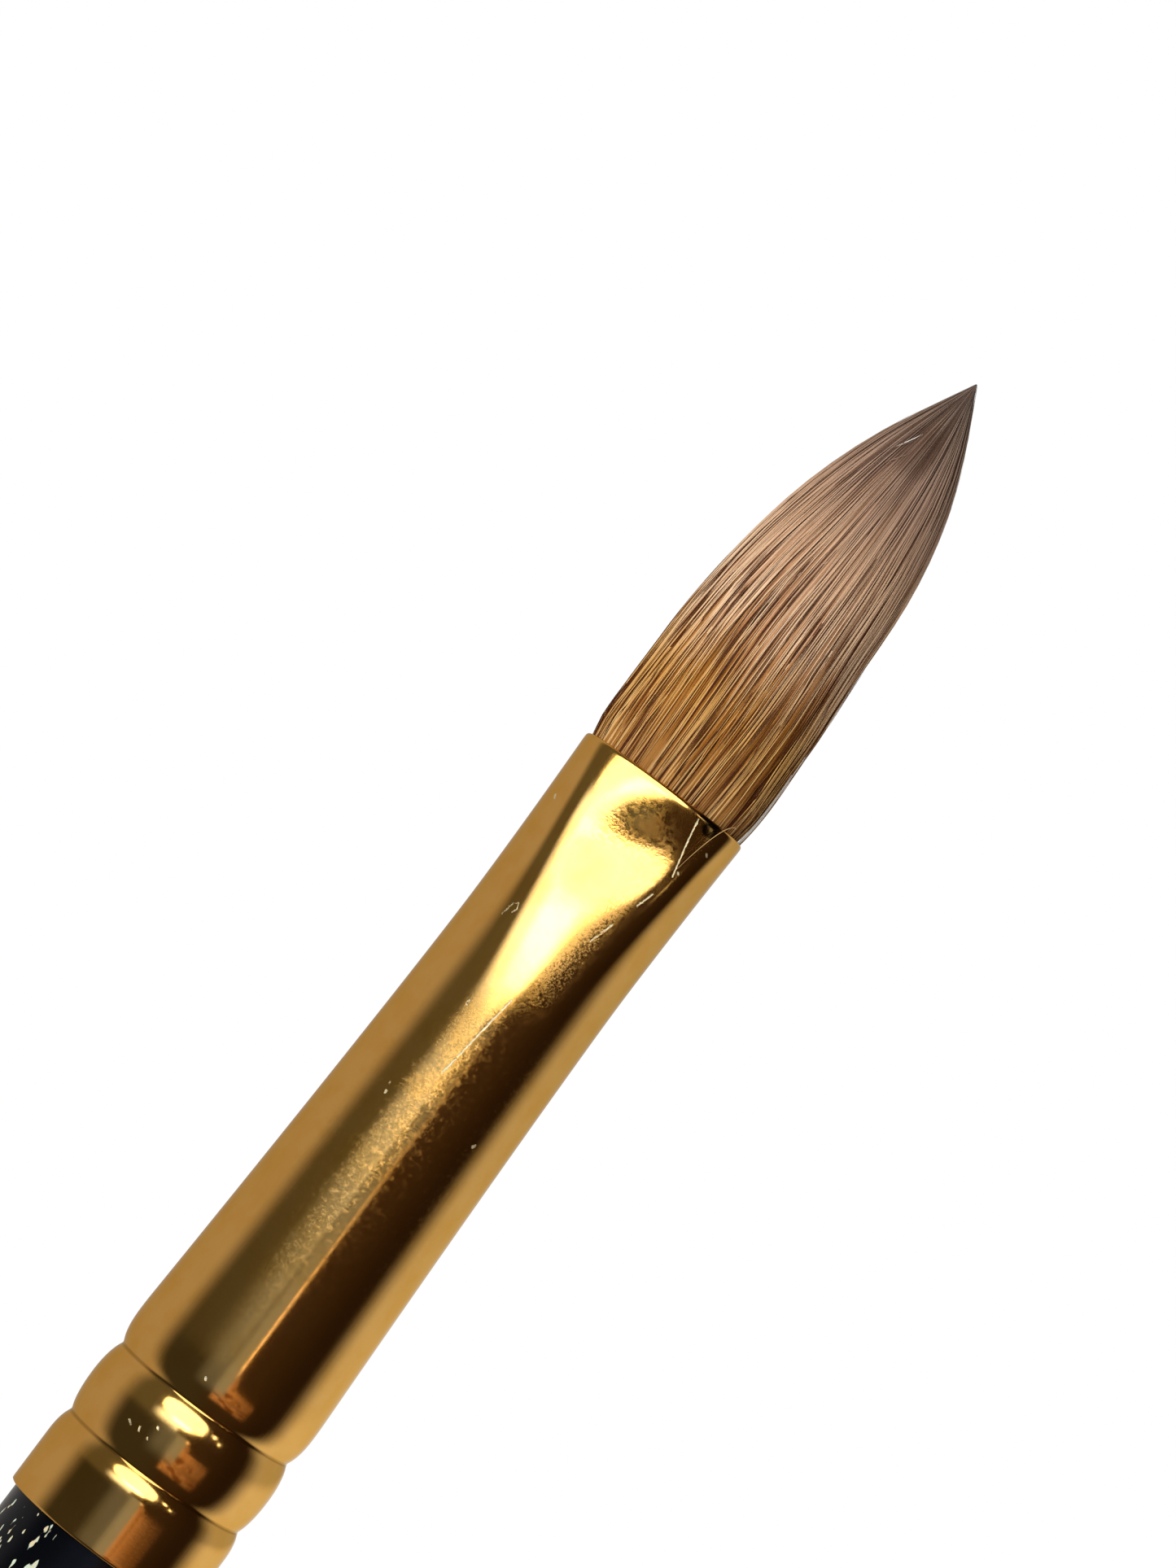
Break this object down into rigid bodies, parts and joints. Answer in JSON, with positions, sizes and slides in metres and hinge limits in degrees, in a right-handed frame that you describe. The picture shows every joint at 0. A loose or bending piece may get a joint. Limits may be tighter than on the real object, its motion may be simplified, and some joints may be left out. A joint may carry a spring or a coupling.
{
  "type": "artist's brush",
  "caption": "Pointed round hair brush with a crimped metal ferrule and a lacquered wooden handle, for fine detail work.",
  "frame": {"origin": "on the brush's axis, at the middle of the straight stretch of the grip, the fattest part of the handle", "axes": "+Z along the axis towards the tip of the hair, +Y and -Y out of the ferrule's two pressed flats, +X across the wide way of the mouth"},
  "size_m": [0.0092, 0.0092, 0.173],
  "materials": {
    "wood": "turned hardwood, bare under the coats",
    "undercoat": "thin pale undercoat",
    "lacquer": "black gloss lacquer",
    "ferrule_metal": "polished gold-coloured plate with fine scratches",
    "glue": "set glue",
    "resin": "clear amber resin, set hard",
    "thread": "fine waxed thread",
    "hair": "fine soft animal hair, golden brown turning greyer at the tip"
  },
  "bodies": {
    "handle": {"handle_core": "wood", "handle_primer": "undercoat", "handle_lacquer": "lacquer", "ferrule": "ferrule_metal", "handle_glue": "glue", "resin_plug": "resin", "binding_thread": "thread", "hair_root": "hair"},
    "tuft": {"hair_tuft": "hair"}
  },
  "joints": [
    {"name": "tuft_flex", "type": "hinge", "parent": "handle", "child": "tuft", "pos_m": [0, 0, 0.06195], "axis": [1, 0, 0], "range_deg": [-30, 30], "stiffness_Nm_per_rad": 0.0015}
  ]
}
